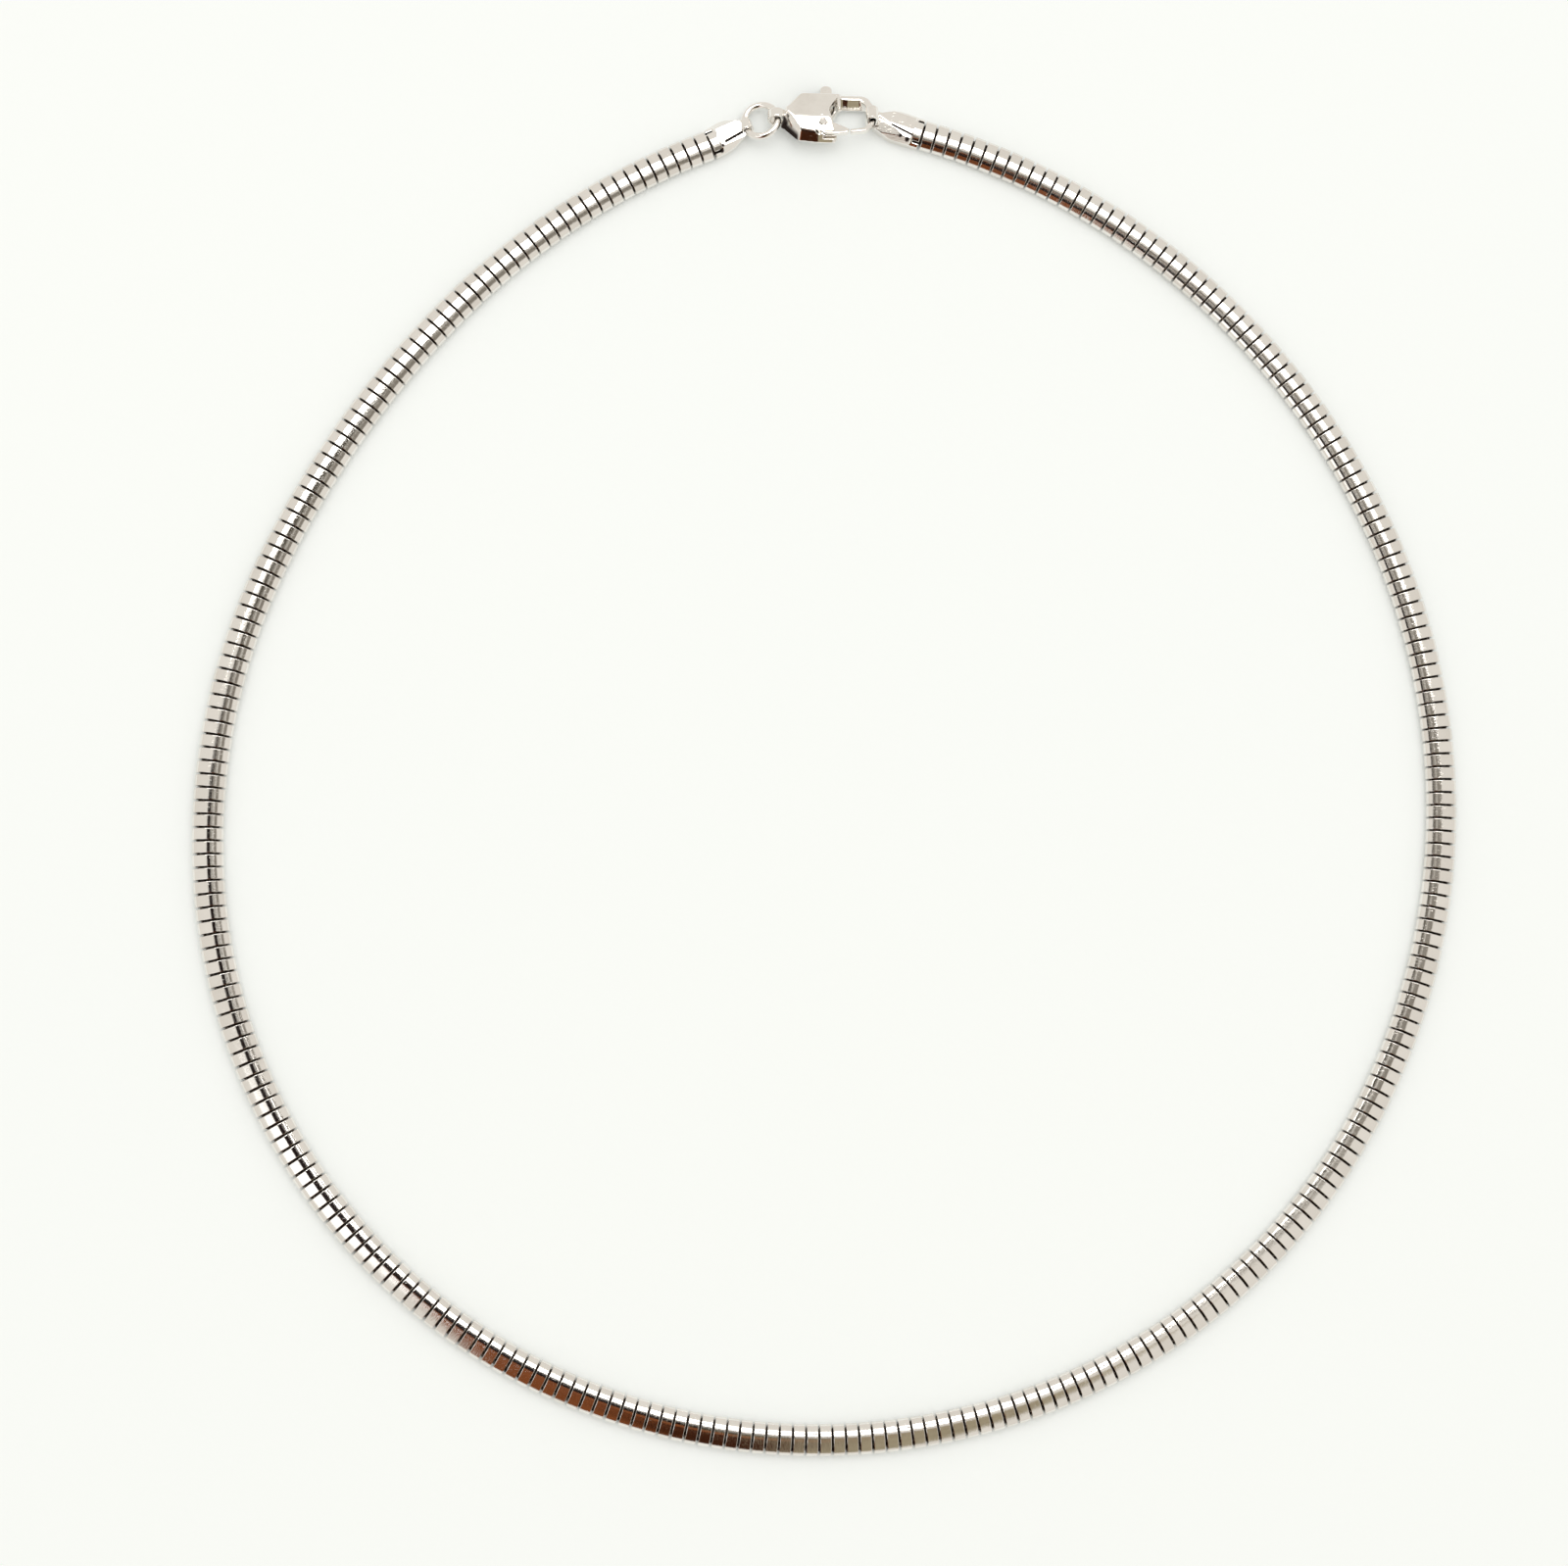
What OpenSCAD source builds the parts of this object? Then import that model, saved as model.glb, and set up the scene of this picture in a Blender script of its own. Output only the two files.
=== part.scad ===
// Omega necklace lying flat, fastened by a lobster clasp. Millimetres, +Z up, clasp towards +Y.
// The band's route starts at the left cap, goes round the loop anticlockwise and ends at the right cap.

/* [Band] */
// Width of the band
band_w = 3.2; // [3.1:0.1:3.4]
// Height of the band above the table
band_h = 1.6; // [1.5:0.05:1.7]
// Radius of the plates' rolled edges
edge_r = 0.65; // [0.6:0.01:0.7]
// Thickness of the plates' sheet
sheet_t = 0.3; // [0.25:0.01:0.3]
// Width of the slot between the plates' folded tabs
slot_w = 1.3; // [1:0.1:1.5]
// Space between the plates and the woven mesh inside them
mesh_gap = 0.1; // [0.08:0.01:0.12]

/* [Route] */
// Length of one plate with its gap
plate_pitch = 1.34; // [1.33:0.001:1.345]
// Plates in each bend of the route
bend_plates = 24; // [24:1:24]
// Place of the left end of the band, left to right
start_x = -13; // [-13.1:0.01:-12.9]
// Place of the left end of the band, towards the clasp
start_y = 63.8; // [63.7:0.01:63.9]
// Direction in which the band leaves the left cap, in degrees
start_heading = -157.6; // [-158:0.1:-157]

/* [End caps] */
// Length of the collar round the end of the mesh
collar_l = 1; // [0.9:0.05:1.1]
// Distance from the band's end to where the left cap starts to narrow
left_shoulder_l = 2.5; // [2.4:0.05:2.6]
// Distance from the band's end to where the right cap starts to narrow
right_shoulder_l = 3.1; // [3:0.05:3.2]
// Height of a cap at its shoulder
shoulder_h = 1.5; // [1.4:0.05:1.6]
// Width of the left cap's tongue, which curls round the jump ring
left_tongue_w = 1.1; // [1:0.05:1.1]
// Width of the right cap's tongue, which curls round the hook
right_tongue_w = 1.5; // [1.3:0.05:1.5]
// Thickness of both tongues
tongue_t = 0.3; // [0.25:0.01:0.3]
// Direction of the left cap, in degrees
left_cap_heading = 25.5; // [25:0.1:26]
// Direction of the right cap, in degrees
right_cap_heading = 163; // [162:0.1:164]

/* [Jump ring] */
// Radius of the ring at the middle of its wire
ring_r = 1.78; // [1.76:0.01:1.8]
// Radius of its wire
ring_wire_r = 0.38; // [0.36:0.01:0.38]
// How far the ring's right side is raised, in degrees
ring_pitch = 17; // [16:0.5:17]
// Where the left cap's tongue holds the ring, in degrees round it
ring_hold = 200; // [198:1:202]

/* [Clasp] */
// Roll of the clasp about its length, its face turned towards +Y, in degrees
clasp_roll = 20; // [19:0.5:20]
// Thickness of the clasp at the crest of its face
clasp_t = 1.9; // [1.85:0.05:1.95]
// Thickness at the body's sides
clasp_side_t = 1.36; // [1.3:0.02:1.4]
// Thickness of the hook where it leaves the body
hook_root_t = 1.26; // [1.2:0.02:1.3]
// Thickness of the hook at its tip
hook_tip_t = 0.6; // [0.58:0.02:0.64]
// Thickness of the lever
lever_t = 0.6; // [0.56:0.02:0.6]
// Radius of the lever's pin
pin_r = 0.35; // [0.33:0.01:0.37]

/* [Hidden] */

// Radius of each bend in turn. All bends are equally long and turn left.
bend_radii = [76, 99, 66, 60, 59.5, 64.5, 66, 62.5, 67.5, 69, 74, 72];
bend_length = bend_plates * plate_pitch;
band_length = bend_length * len(bend_radii);
plates_per_ring = 4;
ring_step = plates_per_ring * plate_pitch;
joint_gap = 0.12;
mesh_reach = 0.7;

// The crown's radius makes its arc run smoothly into the rolled edges.
edge_x = band_w / 2 - edge_r;
crown_r = (edge_x * edge_x + band_h * band_h - 2 * band_h * edge_r) / (2 * (band_h - 2 * edge_r));
crown_z = band_h - crown_r;
meet_angle = atan(edge_x / (edge_r - crown_z));

// Places in the clasp's own frame: x from the ring to the hook, y towards the thumb tab, z out of its face.
clasp_at = [-1.5, 66.79, 1.68];
eye_x = -4.58;
eye_r = 0.66;
eye_w = 1.1;
pivot = [0.2, -0.9];
rim_hold = [5.4, 0.35];
slot_t = lever_t + 0.12;
tongue_gap = 0.12;
// The left tongue sits this far in from the middle of the ring's wire, because the wire bends
tongue_shift = 0.05;
// Half the hook's rim where the right tongue holds it, across and through
rim_half = [0.25, 0.6];
ring_at = [-7.69, 66.42, 1.3];
ring_roll = clasp_roll / 2;

// Corners of the clasp's outlines, anticlockwise: [x, y, radius]
body_corners = [
    [-4, -0.6, 0.1], [-3.7, -0.75, 0.3], [-2.4, -2.57, 0.7], [1.8, -2.57, 0.5],
    [1.55, -0.9, 0.2], [1.25, 0.2, 0.5], [2, 1.45, 0.5], [2.4, 1.7, 0.1],
    [2.4, 2.57, 0.1], [-2.2, 2.57, 0.7], [-3.7, 0.75, 0.3], [-4, 0.6, 0.1],
];
hook_corners = [
    [3.1, -1.9, 0.2], [4.75, -1.65, 1], [5.65, -0.7, 1], [5.65, 1.35, 1],
    [4.9, 2.55, 1], [1, 2.55, 0.1], [1, 1.75, 0.1], [4.85, 1.7, 0.6],
    [5.15, 1, 0.6], [5.15, -0.4, 0.7], [4.55, -1.2, 0.6], [3.05, -1.45, 0.15],
];
lever_corners = [
    [0.45, -2.1, 0.3], [1.75, -2.1, 0.5], [2.85, -1.9, 0.1], [2.98, -1.45, 0.1],
    [1, -0.5, 0.6], [0.95, 1, 0.8], [1.35, 2.6, 0.3], [1.3, 3.95, 0.55],
    [0.15, 3.95, 0.55], [-0.05, 2.6, 0.3], [-0.5, 0, 0.8], [-0.6, -1.5, 0.6],
];
pocket_corners = [
    [-2.4, 3, 0], [-2.2, 1, 0.5], [-1.1, -1.2, 0.5], [-0.4, -2.1, 0.3], [0.25, -2.2, 0],
    [0.25, -3, 0], [2.2, -3, 0], [2.2, 0.9, 0], [1.5, 1.2, 0.2], [1.5, 3, 0],
];

// Place and heading [x, y, degrees] after a length along a bend that starts at p
function along(p, radius, length) =
    let(turned = p[2] + length / radius * 180 / PI)
    [p[0] + radius * (sin(turned) - sin(p[2])), p[1] - radius * (cos(turned) - cos(p[2])), turned];

function bend_start(i) =
    i == 0 ? [start_x, start_y, start_heading] : along(bend_start(i - 1), bend_radii[i - 1], bend_length);

bend_starts = [for (i = [0 : len(bend_radii) - 1]) bend_start(i)];

// Place and heading at a length along the whole route
function place(s) =
    let(i = max(0, min(floor(s / bend_length), len(bend_radii) - 1)))
    along(bend_starts[i], bend_radii[i], s - i * bend_length);

// One side of the band's skin, from the slot up to the middle of the crown, as [across, height]
function half_skin(inset, edge_angles) = concat(
    [[slot_w / 2, inset]],
    [for (a = edge_angles) [edge_x + (edge_r - inset) * sin(a), edge_r + (edge_r - inset) * cos(a)]],
    [[(crown_r - inset) * sin(meet_angle / 2), crown_z + (crown_r - inset) * cos(meet_angle / 2)]]
);

function mirrored(points) = [for (i = [len(points) - 1 : -1 : 0]) [-points[i][0], points[i][1]]];

// The whole skin, from the slot over the crown to the slot again
function skin(inset, edge_angles = [180, 135, 90, 62, meet_angle]) =
    concat(half_skin(inset, edge_angles), [[0, band_h - inset]], mirrored(half_skin(inset, edge_angles)));

// A flat underside as wide as most of the slot, with n points
function flat_floor(inset, n) = [for (i = [0 : n - 1]) [slot_w * 0.45 * (1 - 2 * i / (n - 1)), inset]];

function reversed(points) = [for (i = [len(points) - 1 : -1 : 0]) points[i]];

// A point of the section, at a place on the route
function on_route(p, q) = [p[0] - q[0] * sin(p[2]), p[1] + q[0] * cos(p[2]), q[1]];

// Sweeps the strip between two lines of equally many points along the route
module sweep(upper, lower, first, last) {
    m = len(upper);
    n = 2 * m;
    section = concat(upper, reversed(lower));
    inner = [for (s = [ring_step : ring_step : band_length - ring_step / 2]) s];
    stops = concat([first], inner, [last]);
    rings = len(stops);
    points = [for (s = stops) for (q = section) on_route(place(s), q)];
    sides = [for (k = [0 : rings - 2]) for (i = [0 : n - 1])
        [k * n + i, (k + 1) * n + i, (k + 1) * n + (i + 1) % n, k * n + (i + 1) % n]];
    start_face = [for (i = [0 : m - 2]) [i, i + 1, n - 2 - i, n - 1 - i]];
    base = (rings - 1) * n;
    end_face = [for (i = [0 : m - 2]) [base + i + 1, base + i, base + n - 1 - i, base + n - 2 - i]];
    polyhedron(points, concat(sides, start_face, end_face));
}

// Points of an outline whose corners [x, y, radius] are rounded
function rounded(corners, steps = 6) = [
    for (i = [0 : len(corners) - 1])
        let(
            here = corners[i],
            back = corners[(i + len(corners) - 1) % len(corners)],
            next = corners[(i + 1) % len(corners)],
            to_back = unit(back, here),
            to_next = unit(next, here),
            half = acos(to_back * to_next) / 2,
            middle = unit_of(to_back + to_next),
            centre = [here[0], here[1]] + middle * here[2] / sin(half),
            side = sign(to_back[0] * to_next[1] - to_back[1] * to_next[0]),
            facing = atan2(-middle[1], -middle[0])
        )
        for (k = here[2] == 0 ? [0] : [-steps / 2 : steps / 2])
            let(a = facing - side * k * (180 - 2 * half) / steps)
            centre + here[2] * [cos(a), sin(a)]
];

function unit_of(v) = v / norm(v);
function unit(a, b) = unit_of([a[0] - b[0], a[1] - b[1]]);

module at_left_end() {
    translate([start_x, start_y, 0]) rotate([0, 0, left_cap_heading]) children();
}

module at_right_end() {
    p = place(band_length);
    translate([p[0], p[1], 0]) rotate([0, 0, right_cap_heading]) children();
}

module at_clasp() {
    translate(clasp_at) rotate([-clasp_roll, 0, 0]) children();
}

module at_ring() {
    translate(ring_at) rotate([-ring_roll, -ring_pitch, 0]) children();
}

// Stands a section drawn as [across, height] up across a cap, from one distance out to another
module across_cap(from, to) {
    translate([from, 0, 0]) rotate([90, 0, 90]) linear_extrude(height = to - from) children();
}

// The cap's outline, closed underneath, with room for the end of the mesh
module cap_block(shoulder_l) {
    difference() {
        across_cap(joint_gap, collar_l + 0.4) polygon(skin(0));
        across_cap(0, mesh_reach + mesh_gap) polygon(skin(sheet_t));
    }
    hull() {
        across_cap(collar_l, collar_l + 0.1) polygon(skin(0));
        shoulder_slice(shoulder_l);
    }
}

module shoulder_slice(shoulder_l) {
    across_cap(shoulder_l - 0.1, shoulder_l) scale([1.02, shoulder_h / band_h]) polygon(skin(0));
}

// Rounded slot of a given half width and half height, across y
module stadium_bar(half_w, half_h, length) {
    rotate([90, 0, 0]) linear_extrude(height = length, center = true) {
        translate([0, half_h - half_w]) circle(half_w);
        translate([0, half_w - half_h]) circle(half_w);
        square([2 * half_w, 2 * (half_h - half_w)], center = true);
    }
}

// Root that joins a tongue to its cap, on the tongue's +x side
module tongue_root(clear, half_h, width) {
    translate([clear + 0.08, -width / 2, -half_h]) cube([0.4, width, 2 * half_h]);
}

module at_left_tongue() {
    at_ring() rotate([0, 0, ring_hold]) translate([ring_r - tongue_shift, 0, 0]) children();
}

module at_right_tongue() {
    at_clasp() translate([rim_hold[0], rim_hold[1], 0]) children();
}

module left_cap() color("silver") {
    wire_clear = ring_wire_r + tongue_gap;
    at_left_end() cap_block(left_shoulder_l);
    hull() {
        at_left_end() shoulder_slice(left_shoulder_l);
        at_left_tongue() tongue_root(wire_clear, 0.6, left_tongue_w);
    }
    at_left_tongue() rotate([90, 0, 0]) difference() {
        cylinder(r = wire_clear + tongue_t, h = left_tongue_w, center = true, $fn = 64);
        cylinder(r = wire_clear, h = 2 * left_tongue_w, center = true, $fn = 64);
    }
}

module right_cap() color("silver") {
    half_w = rim_half[0] + tongue_gap;
    half_h = rim_half[1] + tongue_gap;
    at_right_end() cap_block(right_shoulder_l);
    hull() {
        at_right_end() shoulder_slice(right_shoulder_l);
        at_right_tongue() tongue_root(half_w, 0.6, right_tongue_w);
    }
    at_right_tongue() difference() {
        stadium_bar(half_w + tongue_t, half_h + tongue_t, right_tongue_w, $fn = 64);
        stadium_bar(half_w, half_h, 2 * right_tongue_w, $fn = 64);
    }
}

module band_plates() color("silver") sweep(skin(0), skin(sheet_t), 0, band_length);

module band_mesh() color("gray") {
    inset = sheet_t + mesh_gap;
    mesh_skin = skin(inset, [180, 90, meet_angle]);
    sweep(mesh_skin, flat_floor(inset, len(mesh_skin)), -mesh_reach, band_length + mesh_reach);
}

module jump_ring() color("silver") at_ring() {
    rotate_extrude($fn = 96) translate([ring_r, 0]) circle(ring_wire_r, $fn = 48);
}

// Space under the clasp's gently domed face and over its back
module dome() {
    half_w = 2.57;
    rise = (clasp_t - clasp_side_t) / 2;
    dome_r = (half_w * half_w + rise * rise) / (2 * rise);
    rotate([90, 0, 90]) linear_extrude(height = 12, center = true) intersection() {
        translate([0, clasp_t / 2 - dome_r]) circle(dome_r, $fn = 240);
        translate([0, dome_r - clasp_t / 2]) circle(dome_r, $fn = 240);
    }
}

// The hook's thickness, from its root at +y down to its tip
module hook_wedge() {
    rotate([90, 0, 90]) linear_extrude(height = 12, center = true) polygon([
        [2.6, -hook_root_t / 2], [2.6, hook_root_t / 2], [-1.95, hook_tip_t / 2], [-1.95, -hook_tip_t / 2],
    ]);
}

module clasp_body() color("silver") at_clasp() difference() {
    union() {
        intersection() {
            linear_extrude(height = 3, center = true) polygon(rounded(body_corners));
            dome();
        }
        intersection() {
            linear_extrude(height = 3, center = true) polygon(rounded(hook_corners));
            hook_wedge();
        }
        translate([eye_x, 0, 0]) rotate([90, 0, 0]) cylinder(r = eye_r + 0.3, h = eye_w, center = true, $fn = 64);
    }
    translate([eye_x, 0, 0]) rotate([90, 0, 0]) cylinder(r = eye_r, h = 3, center = true, $fn = 64);
    linear_extrude(height = slot_t, center = true) polygon(rounded(pocket_corners));
    translate([pivot[0], pivot[1], -1.5]) cylinder(r = pin_r + 0.02, h = 2.25, $fn = 48);
}

module clasp_lever() color("gainsboro") at_clasp() difference() {
    linear_extrude(height = lever_t, center = true) polygon(rounded(lever_corners));
    translate([pivot[0], pivot[1], -1]) cylinder(r = pin_r + 0.05, h = 2, $fn = 48);
}

module clasp_pin() color("gray") at_clasp() {
    translate([pivot[0], pivot[1], -0.85]) cylinder(r = pin_r, h = 1.55, $fn = 48);
}

band_plates();
band_mesh();
left_cap();
right_cap();
jump_ring();
clasp_body();
clasp_lever();
clasp_pin();
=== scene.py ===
import math
import random

import bpy
import numpy as np
from mathutils import Matrix, Vector


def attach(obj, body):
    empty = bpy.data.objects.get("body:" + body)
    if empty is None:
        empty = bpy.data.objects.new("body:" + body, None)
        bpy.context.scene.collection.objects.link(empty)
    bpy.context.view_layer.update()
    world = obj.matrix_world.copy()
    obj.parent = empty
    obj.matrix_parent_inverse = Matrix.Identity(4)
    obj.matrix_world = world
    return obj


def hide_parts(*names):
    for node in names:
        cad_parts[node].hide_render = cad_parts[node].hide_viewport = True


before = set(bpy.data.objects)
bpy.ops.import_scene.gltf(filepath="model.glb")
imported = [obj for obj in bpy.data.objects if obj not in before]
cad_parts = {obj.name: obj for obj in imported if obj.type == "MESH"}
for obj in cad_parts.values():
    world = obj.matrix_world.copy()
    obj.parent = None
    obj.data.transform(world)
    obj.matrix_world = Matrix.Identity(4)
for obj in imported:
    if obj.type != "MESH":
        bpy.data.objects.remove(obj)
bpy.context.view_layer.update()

NECKLACE = "necklace"
LEVER = "lever"

# Places and sizes are in millimetres, and are turned into metres where Blender gets them.
MM = 0.001

# The band, as the CAD has it
BAND_W = 3.2
BAND_H = 1.6
EDGE_R = 0.65
SHEET_T = 0.3
SLOT_W = 1.3
MESH_REACH = 0.7
EDGE_X = BAND_W / 2 - EDGE_R
CROWN_R = (EDGE_X**2 + BAND_H**2 - 2 * BAND_H * EDGE_R) / (2 * (BAND_H - 2 * EDGE_R))
CROWN_Z = BAND_H - CROWN_R
MEET_ANGLE = math.atan(EDGE_X / (EDGE_R - CROWN_Z))

# Its route, from this place and heading in degrees, along equally long bends that all turn left
PLATE_PITCH = 1.34
BEND_PLATES = 24
BEND_RADII = [76, 99, 66, 60, 59.5, 64.5, 66, 62.5, 67.5, 69, 74, 72]
START = (-13.0, 63.8, -157.6)
BEND_LENGTH = BEND_PLATES * PLATE_PITCH
PLATES = BEND_PLATES * len(BEND_RADII)
BAND_LENGTH = BEND_LENGTH * len(BEND_RADII)

# The caps, the ring and the clasp, with angles in degrees
COLLAR_L = 1.0
LEFT_CAP_HEADING = 25.5
RIGHT_CAP_HEADING = 163.0
LEFT_TONGUE_W = 1.1
RIGHT_TONGUE_W = 1.5
TONGUE_T = 0.3
RING_R = 1.78
RING_WIRE_R = 0.38
RING_AT = (-7.69, 66.42, 1.3)
RING_ROLL = 10
RING_PITCH = 17
# Where round the ring the left cap's tongue holds it
RING_HOLD = 200
CLASP_AT = (-1.5, 66.79, 1.68)
CLASP_ROLL = 20
CLASP_T = 1.9
EYE_X = -4.58
EYE_R = 0.66
EYE_W = 1.1
PIVOT = (0.2, -0.9)
PIN_R = 0.35
LEVER_T = 0.6
# Where the right cap's tongue holds the hook's rim, and the rim's half width and half thickness
RIM_HOLD = (5.4, 0.35)
RIM_HALF = (0.25, 0.6)
TONGUE_GAP = 0.12
# A cut that goes right through a piece of the clasp reaches so far each way
THROUGH = 3

# The camera, and the part of the floor that it looks at
CAMERA_AT = Vector((-41.6, -48.37, 376.15))
CAMERA_TARGET = Vector((-5.2, -2.87, 0.65))
CAMERA_RIGHT = Vector((375.5, 0, 36.4))
LENS = 85.5
SENSOR = 36.0
CLIP_START = 10

chance = random.Random(16)


# The camera

def make_camera():
    data = bpy.data.cameras.new("camera")
    data.lens = LENS
    data.sensor_width = SENSOR
    data.clip_start = CLIP_START * MM
    camera = bpy.data.objects.new("camera", data)
    bpy.context.scene.collection.objects.link(camera)
    forward = (CAMERA_TARGET - CAMERA_AT).normalized()
    right = CAMERA_RIGHT.normalized()
    turn = Matrix((right, right.cross(forward), -forward)).transposed().to_4x4()
    camera.matrix_world = Matrix.Translation(CAMERA_AT * MM) @ turn
    bpy.context.scene.camera = camera


# Materials as node trees

class Wire:
    """An output socket that works in a sum or a product."""

    def __init__(self, finish, socket):
        self.finish = finish
        self.socket = socket

    def worked(self, operation, first, second):
        return self.finish.node("ShaderNodeMath", {"operation": operation}, {0: first, 1: second})

    def __add__(self, other):
        return self.worked("ADD", self, other)

    def __radd__(self, other):
        return self.worked("ADD", other, self)

    def __mul__(self, other):
        return self.worked("MULTIPLY", self, other)

    def __rmul__(self, other):
        return self.worked("MULTIPLY", other, self)


class Finish:
    """A material and the nodes that make it."""

    def __init__(self, name, **constants):
        self.material = bpy.data.materials.new(name)
        self.material.use_nodes = True
        self.tree = self.material.node_tree
        self.tree.nodes.clear()
        self.shader = self.tree.nodes.new("ShaderNodeBsdfPrincipled")
        out = self.tree.nodes.new("ShaderNodeOutputMaterial")
        self.tree.links.new(self.shader.outputs["BSDF"], out.inputs["Surface"])
        for socket, value in constants.items():
            self.shader.inputs[socket.replace("_", " ")].default_value = value

    def node(self, kind, settings=None, inputs=None, output=0):
        """A node of that type, with its settings, then its sockets' values or links."""
        made = self.tree.nodes.new(kind)
        for name, value in (settings or {}).items():
            setattr(made, name, value)
        for name, value in (inputs or {}).items():
            self.feed(made.inputs[name], value)
        return Wire(self, made.outputs[output])

    def feed(self, socket, value):
        if isinstance(value, Wire):
            self.tree.links.new(value.socket, socket)
        else:
            socket.default_value = value

    def surface(self, **values):
        for name, value in values.items():
            self.feed(self.shader.inputs[name.replace("_", " ")], value)

    def place(self, scale=(1, 1, 1)):
        """Places on the piece, in metres, stretched by scale."""
        spot = self.node("ShaderNodeTexCoord", output="Object")
        return self.node("ShaderNodeMapping", {}, {"Vector": spot, "Scale": scale})

    def noise(self, place, scale, detail=3.0, roughness=0.5):
        return self.node(
            "ShaderNodeTexNoise",
            {"noise_dimensions": "3D"},
            {"Vector": place, "Scale": scale, "Detail": detail, "Roughness": roughness},
            "Fac",
        )

    def ramp(self, value, low, high):
        """0 where value is under low, 1 over high, and smooth between them."""
        return self.node(
            "ShaderNodeMapRange",
            {"interpolation_type": "SMOOTHSTEP"},
            {"Value": value, "From Min": low, "From Max": high},
        )

    def blend(self, amount, first, second):
        return self.node(
            "ShaderNodeMix",
            {"data_type": "RGBA"},
            {"Factor": amount, 6: first, 7: second},
            2,
        )

    def bump(self, height, distance, strength=1.0):
        values = {"Height": height, "Distance": distance, "Strength": strength}
        return self.node("ShaderNodeBump", {}, values)

    def stored(self, name, output):
        """A value that the mesh stores at its points."""
        settings = {"attribute_type": "GEOMETRY", "attribute_name": name}
        return self.node("ShaderNodeAttribute", settings, {}, output)


# Finishes

# Bump depths are in metres. Noise is laid out in metres, but on the plates' stored grain in millimetres.
SILVER = (0.90, 0.873, 0.835, 1)
DULL_SILVER = (0.70, 0.66, 0.61, 1)
# Painted shade: a near-black laid over the silver where the clasp and caps store it
PAINTED_SHADE_COLOUR = (0.03, 0.022, 0.02, 1)
# Painted shade: the braid's wire is darkened so that the gaps between the plates show dark
WIRE_SHADE_SILVER = (0.2, 0.165, 0.14, 1)
WIRE_SHADE_SOIL = (0.09, 0.07, 0.06, 1)
# Painted shade: the core is near-black so that the gaps between the plates show dark
CORE_SHADE = (0.03, 0.022, 0.018, 1)
CORE_SHADE_WORN = (0.08, 0.062, 0.05, 1)
TABLE_COLOURS = ((0.94, 0.985, 1, 1), (0.955, 0.995, 1, 1))
CAST_LINE_DEPTH = 0.000004
ROLLED_LINE_DEPTH = 0.000005
WIRE_DENT_DEPTH = 0.000008
GRIT_DEPTH = 0.00001
# What the meshes store at their points
GRAIN = "grain"
# The stored layer of painted shade
SHADE_LAYER = "shade_and_soil"


def polished_silver(name, gloss=0.05, painted_shade=False):
    """Bright metal: a film of dullness in clouds, fine polishing lines and a few scratches.

    Where asked, it is also darkened with painted shade as much as the mesh stores.
    """
    f = Finish(name, Metallic=1.0)
    clouds = f.ramp(f.noise(f.place(), scale=420, detail=4), low=0.42, high=0.75)
    lines = f.noise(f.place(scale=(260, 2600, 900)), scale=4, detail=2)
    scratches = f.noise(f.place(scale=(900, 14000, 5000)), scale=1, detail=2)
    scratches = f.ramp(scratches, low=0.66, high=0.72)
    colour = f.blend(clouds * 0.35 + scratches * 0.2, SILVER, DULL_SILVER)
    rough = clouds * 0.07 + lines * 0.04 + scratches * 0.12 + gloss
    # Painted shade: the stored layer darkens the colour towards near-black and roughens it
    if painted_shade:
        shade_and_soil = f.stored(SHADE_LAYER, "Fac")
        colour = f.blend(shade_and_soil, colour, PAINTED_SHADE_COLOUR)
        rough = shade_and_soil * 0.2 + rough
    f.surface(
        Base_Color=colour,
        Roughness=rough,
        Normal=f.bump(lines * 0.6 + scratches * 0.4, CAST_LINE_DEPTH),
    )
    return f.material


def plate_silver():
    """The plates' rolled sheet: lines from rolling, dull clouds, scratches, and each plate's own tone."""
    f = Finish("plate_silver", Metallic=1.0)
    grain = f.stored(GRAIN, "Vector")
    apart = f.node("ShaderNodeSeparateXYZ", {}, {0: grain}, "Z")
    rolled = f.node("ShaderNodeMapping", {}, {"Vector": grain, "Scale": (14, 1.2, 40)})
    lines = f.noise(rolled, scale=1.6, detail=3)
    clouds = f.ramp(f.noise(f.place(), scale=260, detail=4), low=0.4, high=0.8)
    scratches = f.noise(f.place(scale=(1500, 9000, 3000)), scale=1, detail=2)
    scratches = f.ramp(scratches, low=0.67, high=0.73)
    f.surface(
        Base_Color=f.blend(clouds * 0.3 + apart * 0.35, SILVER, DULL_SILVER),
        Roughness=clouds * 0.04 + lines * 0.04 + scratches * 0.1 + apart * 0.03 + 0.05,
        Normal=f.bump(lines * 0.7 + scratches * 0.3, ROLLED_LINE_DEPTH),
    )
    return f.material


def shaded_woven_silver():
    """The braid's fine wire, darkened with painted shade, dented and dulled in patches."""
    f = Finish("shaded_woven_silver", Metallic=1.0)
    shade_and_soil = f.ramp(f.noise(f.place(), scale=900, detail=4), low=0.35, high=0.7)
    dents = f.noise(f.place(), scale=6000, detail=2)
    f.surface(
        Base_Color=f.blend(shade_and_soil, WIRE_SHADE_SILVER, WIRE_SHADE_SOIL),
        Roughness=shade_and_soil * 0.25 + 0.28,
        Normal=f.bump(dents, WIRE_DENT_DEPTH),
    )
    return f.material


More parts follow.
